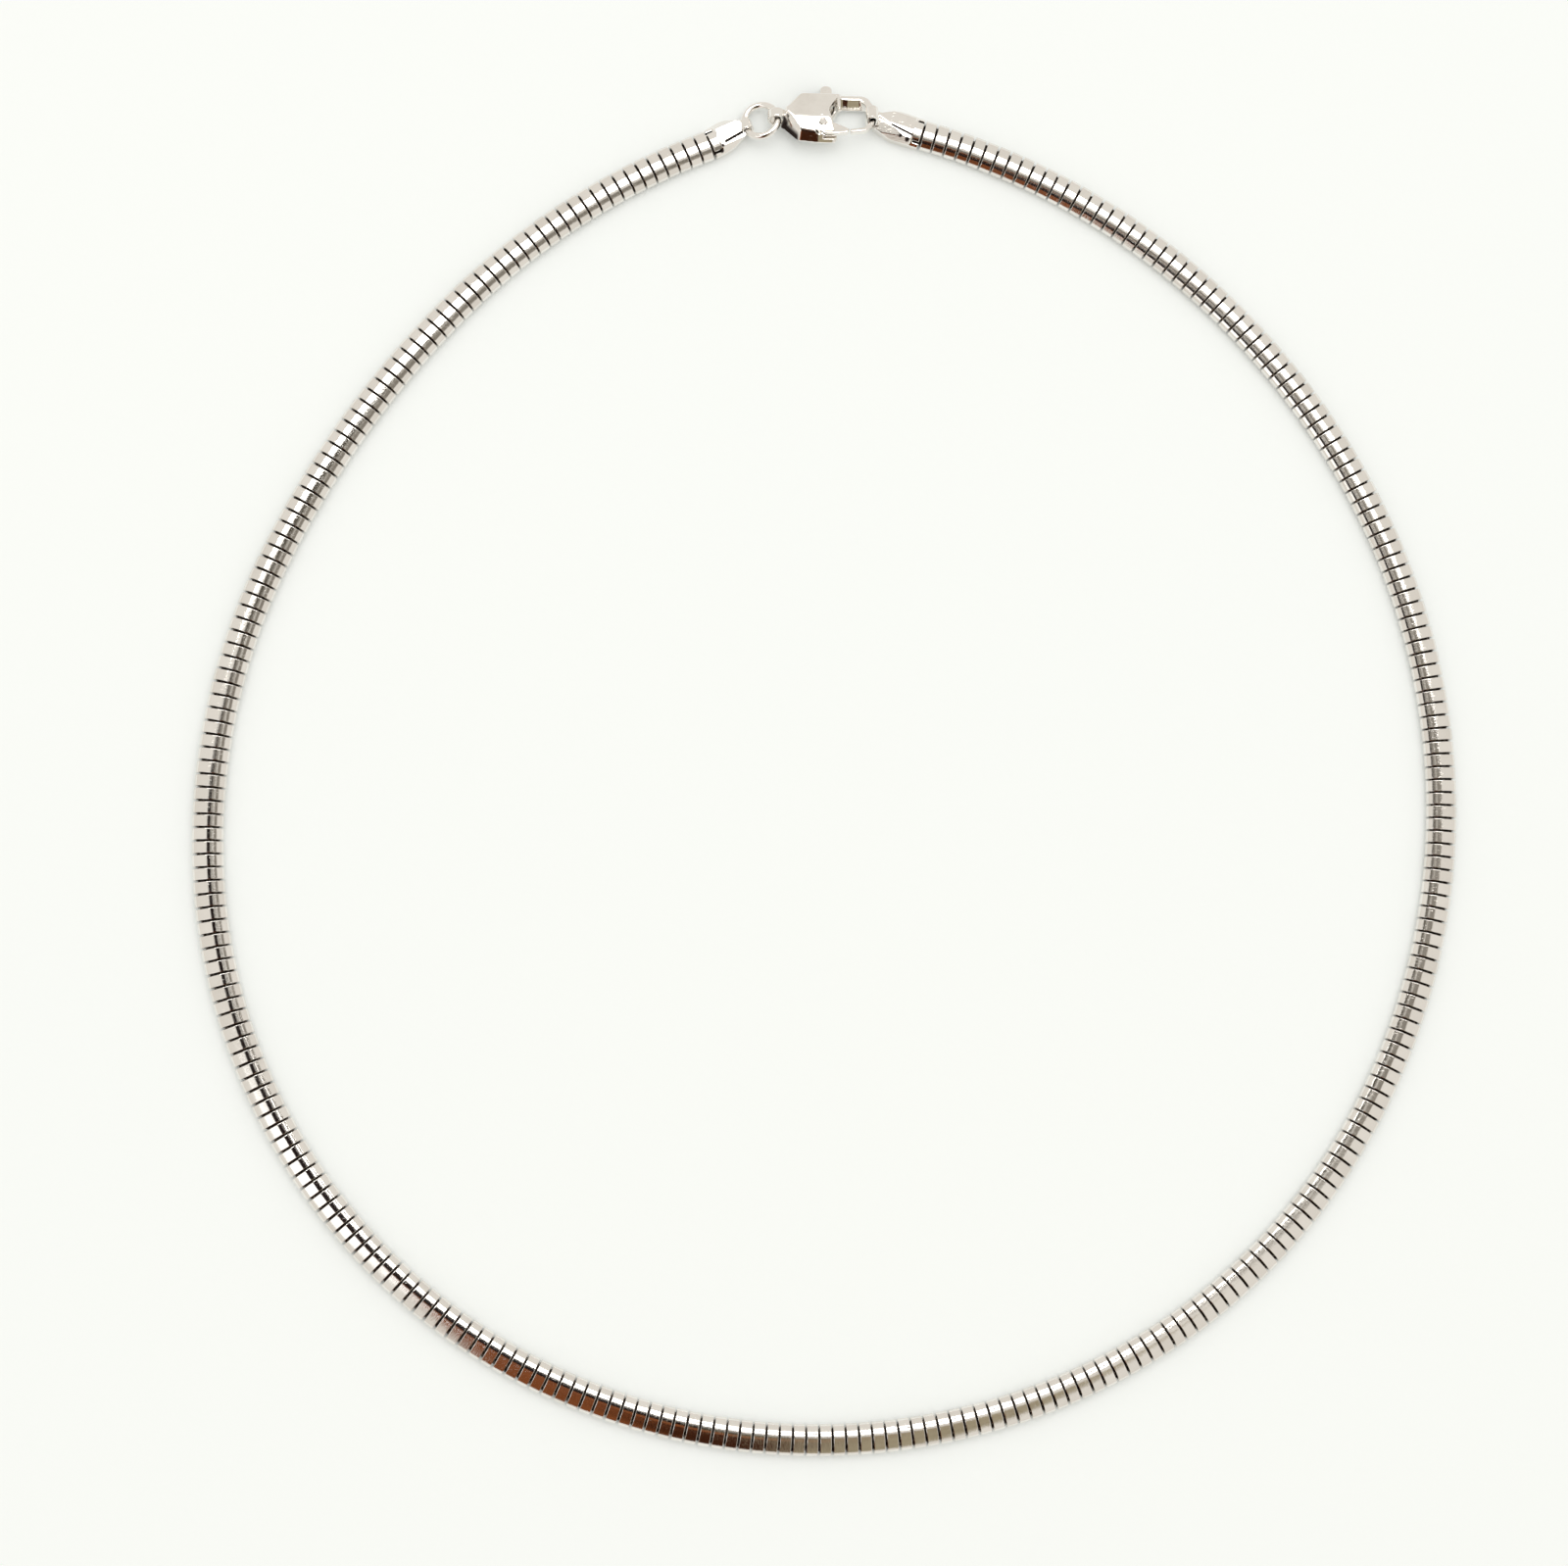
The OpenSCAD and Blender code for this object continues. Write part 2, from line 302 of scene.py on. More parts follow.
def painted_shade_core():
    """The strip inside the braid, near-black with painted shade, which shows only as darkness between the
    wires.
    """
    f = Finish("painted_shade_core", Metallic=1.0)
    shade_and_soil = f.noise(f.place(), scale=1500, detail=3)
    f.surface(
        Base_Color=f.blend(shade_and_soil, CORE_SHADE, CORE_SHADE_WORN),
        Roughness=shade_and_soil * 0.2 + 0.45,
        Normal=f.bump(shade_and_soil, GRIT_DEPTH),
    )
    return f.material


def pale_table():
    """A plain pale table top with a fine grit."""
    f = Finish("pale_table", Roughness=0.6, Specular_IOR_Level=0.2)
    clouds = f.noise(f.place(), scale=9, detail=3)
    grit = f.noise(f.place(), scale=1800, detail=2)
    f.surface(
        Base_Color=f.blend(clouds, *TABLE_COLOURS),
        Normal=f.bump(grit, GRIT_DEPTH, strength=0.3),
    )
    return f.material


def glowing(name, colour, strength):
    """A black panel that gives light of one colour."""
    black = (0, 0, 0, 1)
    f = Finish(name, Base_Color=black, Roughness=1.0, Emission_Color=colour, Emission_Strength=strength)
    return f.material


def flag_paint(name, colour):
    """Matt paint with darker clouds."""
    f = Finish(name, Roughness=1.0, Specular_IOR_Level=0.0)
    darker = tuple(0.7 * c for c in colour)
    f.surface(Base_Color=f.blend(f.noise(f.place(), scale=8), (*darker, 1), (*colour, 1)))
    return f.material


# Meshes

def make_piece(name, points, faces, material, sharp=30, body=NECKLACE):
    """A piece from points in millimetres, smooth except over edges sharper than so many degrees."""
    mesh = bpy.data.meshes.new(name)
    mesh.from_pydata((np.asarray(points) * MM).tolist(), [], [list(map(int, f)) for f in faces])
    mesh.validate()
    mesh.update()
    mesh.shade_smooth()
    mesh.set_sharp_from_angle(angle=math.radians(sharp))
    mesh.materials.append(material)
    piece = bpy.data.objects.new(name, mesh)
    bpy.context.scene.collection.objects.link(piece)
    if body:
        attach(piece, body)
    return piece


def mark_painted_shade(piece, amounts):
    """How much painted shade the piece has at each of its points, from 0 to 1."""
    layer = piece.data.attributes.new(SHADE_LAYER, "FLOAT", "POINT")
    layer.data.foreach_set("value", amounts)


def moved(points, matrix):
    """Points as an n by 3 array, moved by a 4x4 matrix."""
    m = np.array(matrix)
    return np.asarray(points) @ m[:3, :3].T + m[:3, 3]


def turned(x=0, y=0, z=0):
    """Turns about X, then Y, then Z, in degrees."""
    about_z, about_y, about_x = (
        Matrix.Rotation(math.radians(angle), 4, axis) for angle, axis in ((z, "Z"), (y, "Y"), (x, "X"))
    )
    return about_z @ about_y @ about_x


def tube_faces(rings, sides, closed=False):
    """Quads between rings of equally many points, with end faces where the tube isn't closed."""
    faces = []
    for k in range(rings if closed else rings - 1):
        here = k * sides
        there = ((k + 1) % rings) * sides
        for i in range(sides):
            after = (i + 1) % sides
            faces.append((here + i, there + i, there + after, here + after))
    if not closed:
        faces.append(tuple(range(sides)))
        faces.append(tuple(reversed(range((rings - 1) * sides, rings * sides))))
    return faces


# The route

def along(start, radius, length):
    """Place and heading (x, y, degrees) after a length along a bend from such a place and heading."""
    x, y, heading = start
    a = math.radians(heading)
    heading += math.degrees(length / radius)
    b = math.radians(heading)
    return (x + radius * (math.sin(b) - math.sin(a)), y - radius * (math.cos(b) - math.cos(a)), heading)


bend_starts = [START]
for bend_radius in BEND_RADII[:-1]:
    bend_starts.append(along(bend_starts[-1], bend_radius, BEND_LENGTH))


def place_on_route(s):
    """Place and heading at a length along the band from its left end."""
    i = max(0, min(int(s // BEND_LENGTH), len(BEND_RADII) - 1))
    return along(bend_starts[i], BEND_RADII[i], s - i * BEND_LENGTH)


def at_route(s):
    """The matrix that carries x along, y across and z up to a place on the route."""
    x, y, heading = place_on_route(s)
    return Matrix.Translation((x, y, 0)) @ turned(z=heading)


AT_LEFT_END = Matrix.Translation((START[0], START[1], 0)) @ turned(z=LEFT_CAP_HEADING)
BAND_END = place_on_route(BAND_LENGTH)
AT_RIGHT_END = Matrix.Translation((BAND_END[0], BAND_END[1], 0)) @ turned(z=RIGHT_CAP_HEADING)
AT_CLASP = Matrix.Translation(CLASP_AT) @ turned(x=-CLASP_ROLL)
AT_RING = Matrix.Translation(RING_AT) @ turned(x=-RING_ROLL, y=-RING_PITCH)


def skin_section(inset, crown_steps, edge_steps):
    """The band's skin from one slot edge over the crown to the other, as [across, height]."""
    edge = EDGE_R - inset
    points = [(SLOT_W / 2, inset)]
    for k in range(edge_steps + 1):
        a = math.pi - (math.pi - MEET_ANGLE) * k / edge_steps
        points.append((EDGE_X + edge * math.sin(a), EDGE_R + edge * math.cos(a)))
    for k in range(1, crown_steps // 2 + 1):
        a = MEET_ANGLE * (1 - 2 * k / crown_steps)
        points.append(((CROWN_R - inset) * math.sin(a), CROWN_Z + (CROWN_R - inset) * math.cos(a)))
    return points + [(-x, z) for x, z in reversed(points[:-1])]


# The plates

PLATE_GAP = 0.22
# Each plate is turned and rolled by up to so many degrees, and lifted between these heights
PLATE_TURN = 0.2
PLATE_ROLL = 0.8
PLATE_LIFT = (0.005, 0.02)
# A plate's ends are rounded over, and a row of points this far behind the rounding keeps its face flat
EDGE_ROUND = 0.035
EDGE_FLAT = 0.015
PLATE_CROWN_STEPS = 8
PLATE_EDGE_STEPS = 7
SHARP_ON_PLATES = 35


def one_plate():
    """Points and faces of one plate, with x along the band from -half its length to half."""
    half = (PLATE_PITCH - PLATE_GAP) / 2
    # Rows of points over one end: how far out from where the rounding starts, and how far in from the skin
    rows = [(EDGE_ROUND, EDGE_ROUND), (0.7 * EDGE_ROUND, 0.3 * EDGE_ROUND), (0, 0), (-EDGE_FLAT, 0)]
    rows = [(out + half - EDGE_ROUND, inset) for out, inset in rows]
    rows = [(-x, inset) for x, inset in rows] + rows[::-1] + [(half, SHEET_T), (-half, SHEET_T)]
    points = []
    for x, inset in rows:
        points += [(x, u, z) for u, z in skin_section(inset, PLATE_CROWN_STEPS, PLATE_EDGE_STEPS)]
    across = len(points) // len(rows)
    faces = []
    for k in range(len(rows)):
        here = k * across
        there = ((k + 1) % len(rows)) * across
        faces += [(here + i, here + i + 1, there + i + 1, there + i) for i in range(across - 1)]
    faces.append(tuple(k * across for k in range(len(rows))))
    faces.append(tuple(k * across + across - 1 for k in reversed(range(len(rows)))))
    return np.array(points), faces


def make_plates(material):
    """All plates as one piece. Each point stores where it lies along and across, and its plate's tone."""
    plate, plate_faces = one_plate()
    points = []
    faces = []
    grain = []
    for k in range(PLATES):
        s = (k + 0.5) * PLATE_PITCH
        wobble = turned(
            x=chance.uniform(-PLATE_ROLL, PLATE_ROLL),
            y=chance.uniform(-PLATE_TURN, PLATE_TURN),
            z=chance.uniform(-PLATE_TURN, PLATE_TURN),
        )
        lift = Matrix.Translation((0, 0, chance.uniform(*PLATE_LIFT)))
        faces += [[len(points) * len(plate) + i for i in f] for f in plate_faces]
        points.append(moved(plate, at_route(s) @ lift @ wobble))
        tone = chance.random()
        grain.append(np.column_stack([plate[:, 0] + s, plate[:, 1], np.full(len(plate), tone)]))
    points = np.concatenate(points)
    piece = make_piece("omega_plates", points, faces, material, SHARP_ON_PLATES)
    layer = piece.data.attributes.new(GRAIN, "FLOAT_VECTOR", "POINT")
    layer.data.foreach_set("vector", np.concatenate(grain).ravel())
    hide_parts("band_plates")


# The woven core

CORE_INSET = 0.56
CORE_SIDES = 20
STRAND_INSET = 0.475
STRAND_SPOTS = 240
STRAND_R = 0.07
STRAND_SIDES = 4
STRANDS = 8
STRAND_PITCH = 6.4
STRAND_STEP = 0.42
WEAVE_DEPTH = 0.045
SHARP_ON_BRAID = 80


def closed_section(inset, steps):
    """The core's outline as equally spaced [across, height] points, anticlockwise."""
    skin = skin_section(inset, crown_steps=16, edge_steps=12)
    outline = np.array(skin + [skin[0]])
    lengths = np.hypot(*np.diff(outline, axis=0).T)
    reach = np.concatenate([[0], np.cumsum(lengths)])
    stops = np.linspace(0, reach[-1], steps, endpoint=False)
    return np.column_stack([np.interp(stops, reach, outline[:, 0]), np.interp(stops, reach, outline[:, 1])])


def make_core(material):
    """The strip, near-black with painted shade, which reaches a little past the band into both caps."""
    outline = closed_section(CORE_INSET, CORE_SIDES)
    flat = np.column_stack([np.zeros(CORE_SIDES), outline])
    length = BAND_LENGTH + 2 * MESH_REACH
    steps = int(length / (2 * PLATE_PITCH))
    points = [moved(flat, at_route(-MESH_REACH + length * k / steps)) for k in range(steps + 1)]
    faces = tube_faces(steps + 1, CORE_SIDES)
    piece = make_piece("core_strip", np.concatenate(points), faces, material)
    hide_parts("band_mesh")


def strand(turn_way, start):
    """One wire of the braid, round the core and along it, over and under the wires that it crosses."""
    outline = closed_section(STRAND_INSET, STRAND_SPOTS)
    centre = outline.mean(axis=0)
    count = int(BAND_LENGTH / STRAND_STEP)
    path = []
    for k in range(count + 1):
        s = BAND_LENGTH * k / count
        turns = turn_way * s / STRAND_PITCH + start / STRANDS
        spot = outline[int(round(turns * STRAND_SPOTS)) % STRAND_SPOTS]
        weave = math.cos(2 * math.pi * STRANDS * s / STRAND_PITCH + math.pi * start)
        over = turn_way * WEAVE_DEPTH * weave
        outward = (spot - centre) / np.linalg.norm(spot - centre)
        x, y, heading = place_on_route(s)
        a = math.radians(heading)
        u, z = spot + outward * over
        path.append((x - u * math.sin(a), y + u * math.cos(a), z))
    return np.array(path)


def wire_along(path, radius, sides):
    """Points of a wire along a path, ring after ring."""
    forward = np.gradient(path, axis=0)
    forward /= np.linalg.norm(forward, axis=1)[:, None]
    up = np.array([0, 0, 1.0])
    side = np.cross(forward, up)
    side /= np.linalg.norm(side, axis=1)[:, None]
    lift = np.cross(side, forward)
    angles = 2 * math.pi * np.arange(sides) / sides
    lines = [path + radius * (math.cos(a) * side + math.sin(a) * lift) for a in angles]
    return np.stack(lines, axis=1).reshape(-1, 3)


def make_braid(material):
    """Eight wires that turn one way and eight that turn the other way."""
    for name, turn_way in (("braid_left_turning", 1), ("braid_right_turning", -1)):
        points = []
        faces = []
        base = 0
        for start in range(STRANDS):
            path = strand(turn_way, start)
            wire = wire_along(path, STRAND_R, STRAND_SIDES)
            faces += [[base + i for i in f] for f in tube_faces(len(path), STRAND_SIDES)]
            points.append(wire)
            base += len(wire)
        make_piece(name, np.concatenate(points), faces, material, SHARP_ON_BRAID)


# Cast and folded pieces, each the surface where a field of rough distances is zero

def outline_of(corners, steps=6):
    """Points of an outline whose corners (x, y, radius) are rounded."""
    points = []
    for i, (x, y, radius) in enumerate(corners):
        here = Vector((x, y))
        to_back = (Vector(corners[i - 1][:2]) - here).normalized()
        to_next = (Vector(corners[(i + 1) % len(corners)][:2]) - here).normalized()
        half = math.acos(max(-1, min(1, to_back.dot(to_next)))) / 2
        middle = (to_back + to_next).normalized()
        centre = here + middle * radius / math.sin(half)
        side = math.copysign(1, to_back.x * to_next.y - to_back.y * to_next.x)
        facing = math.atan2(-middle.y, -middle.x)
        for k in range(steps + 1) if radius else [steps / 2]:
            a = facing - side * (k - steps / 2) * (math.pi - 2 * half) / steps
            points.append((centre.x + radius * math.cos(a), centre.y + radius * math.sin(a)))
    return np.array(points)


def far_from_outline(outline, x, y):
    """Distance from an outline, negative inside it."""
    best = np.full(x.shape, 1e9)
    inside = np.zeros(x.shape, bool)
    for a, b in zip(outline, np.roll(outline, -1, axis=0)):
        edge = b - a
        if not edge.any():
            continue
        t = np.clip(((x - a[0]) * edge[0] + (y - a[1]) * edge[1]) / (edge @ edge), 0, 1)
        best = np.minimum(best, (x - a[0] - t * edge[0]) ** 2 + (y - a[1] - t * edge[1]) ** 2)
        if a[1] != b[1]:
            crosses = (a[1] > y) != (b[1] > y)
            inside ^= crosses & (x < a[0] + (y - a[1]) * edge[0] / edge[1])
    return np.where(inside, -1, 1) * np.sqrt(best)


def slab(flat, height, rounding):
    """A flat distance thickened to a slab with rounded edges.

    Height is how far a point is past the slab's half thickness.
    """
    a = flat + rounding
    b = height + rounding
    return np.hypot(np.maximum(a, 0), np.maximum(b, 0)) + np.minimum(np.maximum(a, b), 0) - rounding


def joined(a, b, blend):
    """Two fields as one piece, with a fillet."""
    h = np.clip(0.5 + 0.5 * (b - a) / blend, 0, 1)
    return b * (1 - h) + a * h - blend * h * (1 - h)


def cut(a, b, blend):
    """Field a with b taken out, the edge eased."""
    return -joined(-a, b, blend)


# How often points are settled onto a surface
SETTLINGS = 4
# Shares of a step: the nudge that finds the field's slope, and the longest move
NUDGE = 0.1
LONGEST_MOVE = 0.5
# The least square of a slope that a move is worked out with
LEAST_SLOPE = 0.05


def surface_of(field, low, high, step):
    """Points and quads of the surface where field is zero, within a box."""
    axes = [np.arange(lo - 2 * step, hi + 3 * step, step) for lo, hi in zip(low, high)]
    grid = np.meshgrid(*axes, indexing="ij")
    value = field(*grid)
    inside = value < 0
    shape = np.array(value.shape)
    total = np.zeros(tuple(shape - 1) + (3,))
    count = np.zeros(tuple(shape - 1))
    corners = [(0, 0, 0), (1, 0, 0), (0, 1, 0), (1, 1, 0), (0, 0, 1), (1, 0, 1), (0, 1, 1), (1, 1, 1)]

    def part(array, corner):
        return array[tuple(slice(c, n - 1 + c) for c, n in zip(corner, shape))]

    for a in corners:
        for axis in range(3):
            if a[axis]:
                continue
            b = tuple(1 if k == axis else a[k] for k in range(3))
            va = part(value, a)
            vb = part(value, b)
            crosses = part(inside, a) != part(inside, b)
            t = np.where(crosses, va / np.where(crosses, va - vb, 1), 0)
            for k in range(3):
                total[..., k] += np.where(crosses, a[k] + (t if k == axis else 0), 0)
            count += crosses
    used = count > 0
    index = np.full(used.shape, -1)
    index[used] = np.arange(used.sum())
    cells = np.argwhere(used)
    points = np.array([ax[0] for ax in axes]) + (cells + total[used] / count[used][:, None]) * step
    faces = []
    for axis in range(3):
        b, c = (axis + 1) % 3, (axis + 2) % 3
        near = [slice(1, n - 1) for n in shape]
        near[axis] = slice(0, shape[axis] - 1)
        far = list(near)
        far[axis] = slice(1, shape[axis])
        starts = inside[tuple(near)]
        ends = inside[tuple(far)]
        found = np.argwhere(starts != ends)
        found += np.array([0 if k == axis else 1 for k in range(3)])
        outward = starts[starts != ends]
        quad = []
        for db, dc in ((0, 0), (1, 0), (1, 1), (0, 1)):
            cell = found.copy()
            cell[:, b] -= db
            cell[:, c] -= dc
            quad.append(index[tuple(cell.T)])
        quad = np.stack(quad, axis=1)
        quad[~outward] = quad[~outward][:, ::-1]
        faces.append(quad)
    faces = np.concatenate(faces)
    for _ in range(SETTLINGS):
        points = settled(field, points, step)
    return points, faces


def settled(field, points, step):
    """Points moved onto the surface, or as far towards it as the longest move allows."""
    nudge = step * NUDGE
    value = field(*points.T)
    slope = []
    for k in range(3):
        ahead = points.copy()
        behind = points.copy()
        ahead[:, k] += nudge
        behind[:, k] -= nudge
        slope.append((field(*ahead.T) - field(*behind.T)) / (2 * nudge))
    slope = np.stack(slope, axis=1)
    move = -value[:, None] * slope / np.maximum((slope**2).sum(axis=1), LEAST_SLOPE)[:, None]
    length = np.linalg.norm(move, axis=1)[:, None]
    return points + move * np.minimum(1, step * LONGEST_MOVE / np.maximum(length, 1e-9))


# The clasp

BODY_CORNERS = [
    (-4, -0.6, 0.1), (-3.7, -0.75, 0.3), (-2.3, -2.33, 0.6), (-0.3, -2.55, 2), (1.8, -2.5, 0.5),
    (1.55, -0.9, 0.2), (1.25, 0.2, 0.5), (2, 1.45, 0.5), (2.4, 1.7, 0.1),
    (2.4, 2.57, 0.1), (-2.2, 2.57, 1.2), (-3.7, 0.75, 0.5), (-4, 0.6, 0.1),
]
HOOK_CORNERS = [
    (3.1, -1.9, 0.2), (4.75, -1.65, 1), (5.65, -0.7, 1), (5.65, 1.35, 1),
    (4.9, 2.57, 1), (1, 2.57, 0.1), (1, 1.54, 0.1), (2.9, 1.38, 1), (4.6, 1.42, 0.6),
    (5.13, 0.9, 0.6), (5.15, -0.4, 0.7), (4.55, -1.2, 0.6), (3.05, -1.45, 0.15),
]
LEVER_CORNERS = [
    (0.45, -2.1, 0.3), (1.75, -2.1, 0.5), (2.85, -1.9, 0.1), (2.98, -1.45, 0.1),
    (1, -0.5, 0.6), (0.95, 1, 0.8), (1.35, 2.6, 0.3), (1.3, 3.95, 0.55),
    (0.15, 3.95, 0.55), (-0.05, 2.6, 0.3), (-0.5, 0, 0.8), (-0.6, -1.5, 0.6),
]
POCKET_CORNERS = [
    (-2.4, 3, 0), (-2.2, 1, 0.5), (-1.1, -1.2, 0.5), (-0.4, -2.1, 0.3), (0.25, -2.2, 0),
    (0.25, -3, 0), (2.2, -3, 0), (2.2, 0.9, 0), (1.5, 1.2, 0.2), (1.5, 3, 0),
]
BODY_EDGE_R = 0.2
HOOK_EDGE_R = 0.16
# The face is nearly flat, and slopes down over the side away from the thumb tab
FACE_R = 50.0
FACE_Y = 0.8
BEND_Y = -0.15
BEND_SLOPE = 0.29
BEND_SOFT = 0.3
# A shallow line runs along the slope, and fades in and out between these places
LINE_Y = -1.05
LINE_DEPTH = 0.04
LINE_HALF_W = 0.12
LINE_STARTS = (-2.7, -2.2)
LINE_ENDS = (0.8, 1.3)
# How far the back rises at its two sides
BACK_RISE = 0.12
BACK_HALF_W = 2.5
# Above LEAN_FROM the outline shifts towards the thumb tab and shrinks, both by this slope. So one side
# stands upright and the other leans in at twice the slope. The hook leans only over part of its length.
LEAN = 0.3
LEAN_FROM = -0.5
HOOK_LEAN_Y = (-0.5, 0.8)
HOOK_LEAN_X = (4.1, 5)
# Place across and thickness of the hook's root and tip
HOOK_ROOT = (2.6, 1.26)
HOOK_TIP = (-1.95, 0.6)
HOOK_SINK = 0.06
HOOK_FILLET = 0.3
EYE_WALL = 0.3
EYE_EDGE_R = 0.12
EYE_FILLET = 0.2
EYE_HOLE_EASE = 0.06
POCKET_T = LEVER_T + 0.12
POCKET_EDGE_R = 0.02
POCKET_EASE = 0.05
PIN_ROOM = 0.02
PIN_HOLE_REACH = 0.75
LEVER_EDGE_R = 0.14
LEVER_PIN_ROOM = 0.05
HOLE_EASE = 0.03
# Painted shade in a spot by the eye and in a stretch inside the hook's end, and a painted dark reflection
# in a stretch low on the slanted corner
ROOT_SHADE_AT = (-3.75, -0.75)
ROOT_SHADE_R = (0.2, 0.55)
LOW_REFLECTION_Z = (-0.45, 0.15)
LOW_REFLECTION_STARTS = (-3.9, -3.6)
LOW_REFLECTION_ENDS = (-2.5, -2.2)
LOW_REFLECTION_Y = (-0.7, -0.4)
RIM_SHADE_X = 5.1
RIM_SHADE_HALF_W = (0.06, 0.2)
RIM_SHADE_STARTS = (-0.8, -0.4)
RIM_SHADE_ENDS = (0.8, 1.2)
CASTING_BOX = ((-5.6, -2.6, -1), (5.7, 2.6, 1))
LEVER_BOX = ((-0.7, -2.2, -0.35), (3, 4, 0.35))
CLASP_STEP = 0.07
SHARP_ON_CASTING = 40


def eased(value, low, high):
    """0 up to low, 1 from high, and smooth between them."""
    t = np.clip((value - low) / (high - low), 0, 1)
    return t * t * (3 - 2 * t)


def between(value, starts, ends):
    """1 between two eased edges, and 0 outside them."""
    return eased(value, *starts) * (1 - eased(value, *ends))


def body_pillow(x, y, z, lean):
    """The case: its face, with the line and the slope, its back and its leaning sides."""
    outline = far_from_outline(body_outline, x, y - lean) + lean
    past = BEND_Y - y
    slope = BEND_SLOPE * (past + np.hypot(past, BEND_SOFT)) / 2
    face = CLASP_T / 2 - (y - FACE_Y) ** 2 / (2 * FACE_R) - slope
    line = 1 - eased(np.abs(y - LINE_Y), 0, LINE_HALF_W)
    face = face - LINE_DEPTH * line * between(x, LINE_STARTS, LINE_ENDS)
    back = z + CLASP_T / 2 - BACK_RISE * (y / BACK_HALF_W) ** 2
    return slab(outline, np.maximum(z - face, -back), BODY_EDGE_R)


def hook_bend(x, y, z, lean):
    """The hook, which thins towards its tip."""
    lean = lean * eased(y, *HOOK_LEAN_Y) * (1 - eased(x, *HOOK_LEAN_X))
    outline = far_from_outline(hook_outline, x, y - lean) + lean
    t = np.clip((y - HOOK_TIP[0]) / (HOOK_ROOT[0] - HOOK_TIP[0]), 0, 1)
    half = (HOOK_TIP[1] + (HOOK_ROOT[1] - HOOK_TIP[1]) * t) / 2
    return slab(outline, np.abs(z + HOOK_SINK) - half, HOOK_EDGE_R)


def clasp_field(x, y, z):
    """The casting: case, hook and eye as one, with the lever's pocket and the pin's hole cut out."""
    lean = LEAN * (z - LEAN_FROM)
    whole = joined(body_pillow(x, y, z, lean), hook_bend(x, y, z, lean), HOOK_FILLET)
    from_eye = np.hypot(x - EYE_X, z) - EYE_R
    eye = slab(np.abs(from_eye - EYE_WALL / 2) - EYE_WALL / 2, np.abs(y) - EYE_W / 2, EYE_EDGE_R)
    whole = joined(whole, eye, EYE_FILLET)
    whole = cut(whole, slab(from_eye, np.abs(y) - THROUGH, 0), EYE_HOLE_EASE)
    pocket = far_from_outline(pocket_outline, x, y)
    whole = cut(whole, slab(pocket, np.abs(z) - POCKET_T / 2, POCKET_EDGE_R), POCKET_EASE)
    from_pin = np.hypot(x - PIVOT[0], y - PIVOT[1]) - PIN_R
    return cut(whole, slab(from_pin - PIN_ROOM, np.abs(z) - PIN_HOLE_REACH, 0), HOLE_EASE)


def clasp_painted_shade(x, y, z):
    """How much painted shade and painted dark reflection the casting has."""
    root = 1 - eased(np.hypot(x - ROOT_SHADE_AT[0], y - ROOT_SHADE_AT[1]), *ROOT_SHADE_R)
    low = (1 - eased(z, *LOW_REFLECTION_Z)) * (1 - eased(y, *LOW_REFLECTION_Y))
    low = low * between(x, LOW_REFLECTION_STARTS, LOW_REFLECTION_ENDS)
    rim = 1 - eased(np.abs(x - RIM_SHADE_X), *RIM_SHADE_HALF_W)
    rim = rim * between(y, RIM_SHADE_STARTS, RIM_SHADE_ENDS)
    return np.maximum(np.maximum(root, low), rim)


def lever_field(x, y, z):
    """The lever with its thumb tab and the pin's hole."""
    lever = slab(far_from_outline(lever_outline, x, y), np.abs(z) - LEVER_T / 2, LEVER_EDGE_R)
    from_pin = np.hypot(x - PIVOT[0], y - PIVOT[1]) - PIN_R
    return cut(lever, slab(from_pin - LEVER_PIN_ROOM, np.abs(z) - THROUGH, 0), HOLE_EASE)


body_outline = outline_of(BODY_CORNERS)
hook_outline = outline_of(HOOK_CORNERS)
lever_outline = outline_of(LEVER_CORNERS)
pocket_outline = outline_of(POCKET_CORNERS)


def make_clasp(metal, lever_metal, pin_metal):
    """The casting and its lever. The pin stays the CAD's own, with its metal put on."""
    step = CLASP_STEP
    points, faces = surface_of(clasp_field, *CASTING_BOX, step)
    body = make_piece("clasp_case", moved(points, AT_CLASP), faces, metal, SHARP_ON_CASTING)
    # The casting stores its painted shade and painted dark reflection
    mark_painted_shade(body, clasp_painted_shade(*points.T))
    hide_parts("clasp_body")
    points, faces = surface_of(lever_field, *LEVER_BOX, step)
    points = moved(points, AT_CLASP)
    lever = make_piece("clasp_gate", points, faces, lever_metal, SHARP_ON_CASTING, LEVER)
    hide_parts("clasp_lever")
    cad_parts["clasp_pin"].data.materials.clear()
    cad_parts["clasp_pin"].data.materials.append(pin_metal)


# The jump ring

RING_STEPS = 120
WIRE_STEPS = 28
# The soldered seam: a slight swelling with a fine groove, by share of the wire and half width in degrees
SEAM_ANGLE = 70
SWELLING = (0.03, 6)
GROOVE = (0.05, 1.6)


def make_ring(metal):
    """The soldered ring."""
    points = []
    for k in range(RING_STEPS):
        a = 2 * math.pi * k / RING_STEPS
        off = (math.degrees(a) - SEAM_ANGLE + 180) % 360 - 180
        swelling = SWELLING[0] * math.exp(-((off / SWELLING[1]) ** 2))
        groove = GROOVE[0] * math.exp(-((off / GROOVE[1]) ** 2))
        wire = RING_WIRE_R * (1 + swelling - groove)
        for i in range(WIRE_STEPS):
            b = 2 * math.pi * i / WIRE_STEPS
            r = RING_R + wire * math.cos(b)
            points.append((r * math.cos(a), r * math.sin(a), wire * math.sin(b)))
    faces = tube_faces(RING_STEPS, WIRE_STEPS, closed=True)
    ring = make_piece("closed_ring", moved(points, AT_RING), faces, metal)
    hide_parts("jump_ring")


# The end caps

